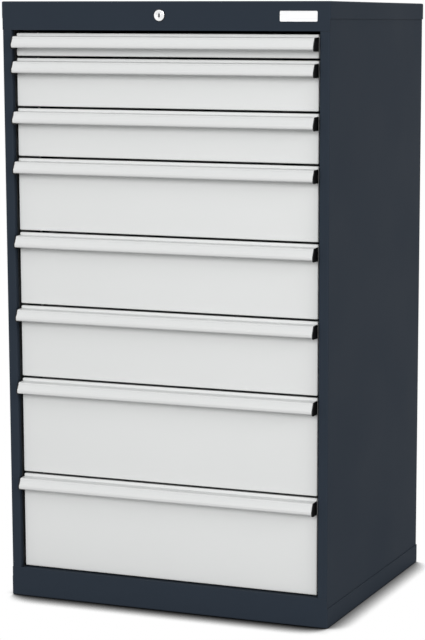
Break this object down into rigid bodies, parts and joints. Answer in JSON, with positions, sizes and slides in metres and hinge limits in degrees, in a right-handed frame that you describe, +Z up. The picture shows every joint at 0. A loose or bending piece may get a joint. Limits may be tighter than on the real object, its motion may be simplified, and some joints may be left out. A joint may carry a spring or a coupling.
{
  "type": "industrial drawer cabinet",
  "caption": "Free-standing steel drawer cabinet with full-width handle profiles, full-extension drawers and one central lock in the top band.",
  "frame": {"origin": "middle of the footprint, on the floor", "axes": "-Y is the way the drawers open, +X is to the right of someone in front of the cabinet, +Z is up"},
  "size_m": [0.701, 0.5882, 1.2204],
  "materials": {
    "anthracite_paint": "fine-textured powder coat",
    "light_grey_paint": "semi-gloss powder coat",
    "handle_profile": "satin anodised, light grey",
    "tray_paint": "semi-gloss powder coat",
    "zinc_plate": "zinc plated",
    "rail_zinc": "zinc plated, oiled",
    "chrome": "polished",
    "cap_plastic": "matt moulded black",
    "badge_metal": "brushed, bare"
  },
  "bodies": {
    "cabinet": {"base_plinth": "anthracite_paint", "bottom_panel": "anthracite_paint", "side_panel_left": "anthracite_paint", "side_panel_right": "anthracite_paint", "back_panel": "anthracite_paint", "top_cover": "anthracite_paint", "runner_frame_left": "zinc_plate", "runner_frame_right": "zinc_plate", "lock_body": "chrome", "slide_guide_left": "zinc_plate", "slide_guide_right": "zinc_plate"},
    "drawer_1": {"drawer_1_tray": "tray_paint", "drawer_1_front": "light_grey_paint", "drawer_1_handle": "handle_profile"},
    "drawer_2": {"drawer_2_tray": "tray_paint", "drawer_2_front": "light_grey_paint", "drawer_2_handle": "handle_profile"},
    "drawer_3": {"drawer_3_tray": "tray_paint", "drawer_3_front": "light_grey_paint", "drawer_3_handle": "handle_profile"},
    "drawer_4": {"drawer_4_tray": "tray_paint", "drawer_4_front": "light_grey_paint", "drawer_4_handle": "handle_profile"},
    "drawer_5": {"drawer_5_tray": "tray_paint", "drawer_5_front": "light_grey_paint", "drawer_5_handle": "handle_profile"},
    "drawer_6": {"drawer_6_tray": "tray_paint", "drawer_6_front": "light_grey_paint", "drawer_6_handle": "handle_profile"},
    "drawer_7": {"drawer_7_tray": "tray_paint", "drawer_7_front": "light_grey_paint", "drawer_7_handle": "handle_profile"},
    "drawer_8": {"drawer_8_tray": "tray_paint", "drawer_8_front": "light_grey_paint", "drawer_8_handle": "handle_profile"},
    "slides_1": {"drawer_1_middle_rail_left": "rail_zinc", "drawer_1_middle_rail_right": "rail_zinc"},
    "slides_2": {"drawer_2_middle_rail_left": "rail_zinc", "drawer_2_middle_rail_right": "rail_zinc"},
    "slides_3": {"drawer_3_middle_rail_left": "rail_zinc", "drawer_3_middle_rail_right": "rail_zinc"},
    "slides_4": {"drawer_4_middle_rail_left": "rail_zinc", "drawer_4_middle_rail_right": "rail_zinc"},
    "slides_5": {"drawer_5_middle_rail_left": "rail_zinc", "drawer_5_middle_rail_right": "rail_zinc"},
    "slides_6": {"drawer_6_middle_rail_left": "rail_zinc", "drawer_6_middle_rail_right": "rail_zinc"},
    "slides_7": {"drawer_7_middle_rail_left": "rail_zinc", "drawer_7_middle_rail_right": "rail_zinc"},
    "slides_8": {"drawer_8_middle_rail_left": "rail_zinc", "drawer_8_middle_rail_right": "rail_zinc"},
    "lock_plug": {"lock_core": "chrome", "lock_cam": "zinc_plate"},
    "slide_bar": {"lock_slide": "zinc_plate"},
    "bar": {"locking_bar": "zinc_plate"}
  },
  "joints": [
    {"name": "drawer_1_slide", "type": "slide", "parent": "cabinet", "child": "drawer_1", "axis": [0, -1, 0], "range_m": [0, 0.46]},
    {"name": "drawer_2_slide", "type": "slide", "parent": "cabinet", "child": "drawer_2", "axis": [0, -1, 0], "range_m": [0, 0.46]},
    {"name": "drawer_3_slide", "type": "slide", "parent": "cabinet", "child": "drawer_3", "axis": [0, -1, 0], "range_m": [0, 0.46]},
    {"name": "drawer_4_slide", "type": "slide", "parent": "cabinet", "child": "drawer_4", "axis": [0, -1, 0], "range_m": [0, 0.46]},
    {"name": "drawer_5_slide", "type": "slide", "parent": "cabinet", "child": "drawer_5", "axis": [0, -1, 0], "range_m": [0, 0.46]},
    {"name": "drawer_6_slide", "type": "slide", "parent": "cabinet", "child": "drawer_6", "axis": [0, -1, 0], "range_m": [0, 0.46]},
    {"name": "drawer_7_slide", "type": "slide", "parent": "cabinet", "child": "drawer_7", "axis": [0, -1, 0], "range_m": [0, 0.46]},
    {"name": "drawer_8_slide", "type": "slide", "parent": "cabinet", "child": "drawer_8", "axis": [0, -1, 0], "range_m": [0, 0.46]},
    {"name": "rails_1_slide", "type": "slide", "parent": "cabinet", "child": "slides_1", "axis": [0, -1, 0], "range_m": [0, 0.23]},
    {"name": "rails_2_slide", "type": "slide", "parent": "cabinet", "child": "slides_2", "axis": [0, -1, 0], "range_m": [0, 0.23]},
    {"name": "rails_3_slide", "type": "slide", "parent": "cabinet", "child": "slides_3", "axis": [0, -1, 0], "range_m": [0, 0.23]},
    {"name": "rails_4_slide", "type": "slide", "parent": "cabinet", "child": "slides_4", "axis": [0, -1, 0], "range_m": [0, 0.23]},
    {"name": "rails_5_slide", "type": "slide", "parent": "cabinet", "child": "slides_5", "axis": [0, -1, 0], "range_m": [0, 0.23]},
    {"name": "rails_6_slide", "type": "slide", "parent": "cabinet", "child": "slides_6", "axis": [0, -1, 0], "range_m": [0, 0.23]},
    {"name": "rails_7_slide", "type": "slide", "parent": "cabinet", "child": "slides_7", "axis": [0, -1, 0], "range_m": [0, 0.23]},
    {"name": "rails_8_slide", "type": "slide", "parent": "cabinet", "child": "slides_8", "axis": [0, -1, 0], "range_m": [0, 0.23]},
    {"name": "lock_turn", "type": "hinge", "parent": "cabinet", "child": "lock_plug", "pos_m": [-0.0035, -0.2774, 1.1931], "axis": [0, 1, 0], "range_deg": [0, 90]},
    {"name": "lock_slide_travel", "type": "slide", "parent": "cabinet", "child": "slide_bar", "axis": [-1, 0, 0], "range_m": [0, 0.015]},
    {"name": "locking_bar_drop", "type": "slide", "parent": "cabinet", "child": "bar", "axis": [0, 0, -1], "range_m": [0, 0.008]}
  ],
  "couplings": [
    {"joint": "rails_1_slide", "follows": "drawer_1_slide", "ratio": 0.5},
    {"joint": "rails_2_slide", "follows": "drawer_2_slide", "ratio": 0.5},
    {"joint": "rails_3_slide", "follows": "drawer_3_slide", "ratio": 0.5},
    {"joint": "rails_4_slide", "follows": "drawer_4_slide", "ratio": 0.5},
    {"joint": "rails_5_slide", "follows": "drawer_5_slide", "ratio": 0.5},
    {"joint": "rails_6_slide", "follows": "drawer_6_slide", "ratio": 0.5},
    {"joint": "rails_7_slide", "follows": "drawer_7_slide", "ratio": 0.5},
    {"joint": "rails_8_slide", "follows": "drawer_8_slide", "ratio": 0.5},
    {"joint": "lock_slide_travel", "follows": "locking_bar_drop", "ratio": 1.875},
    {"joint": "lock_turn", "follows": "locking_bar_drop", "rad_per_m": 196.34}
  ]
}
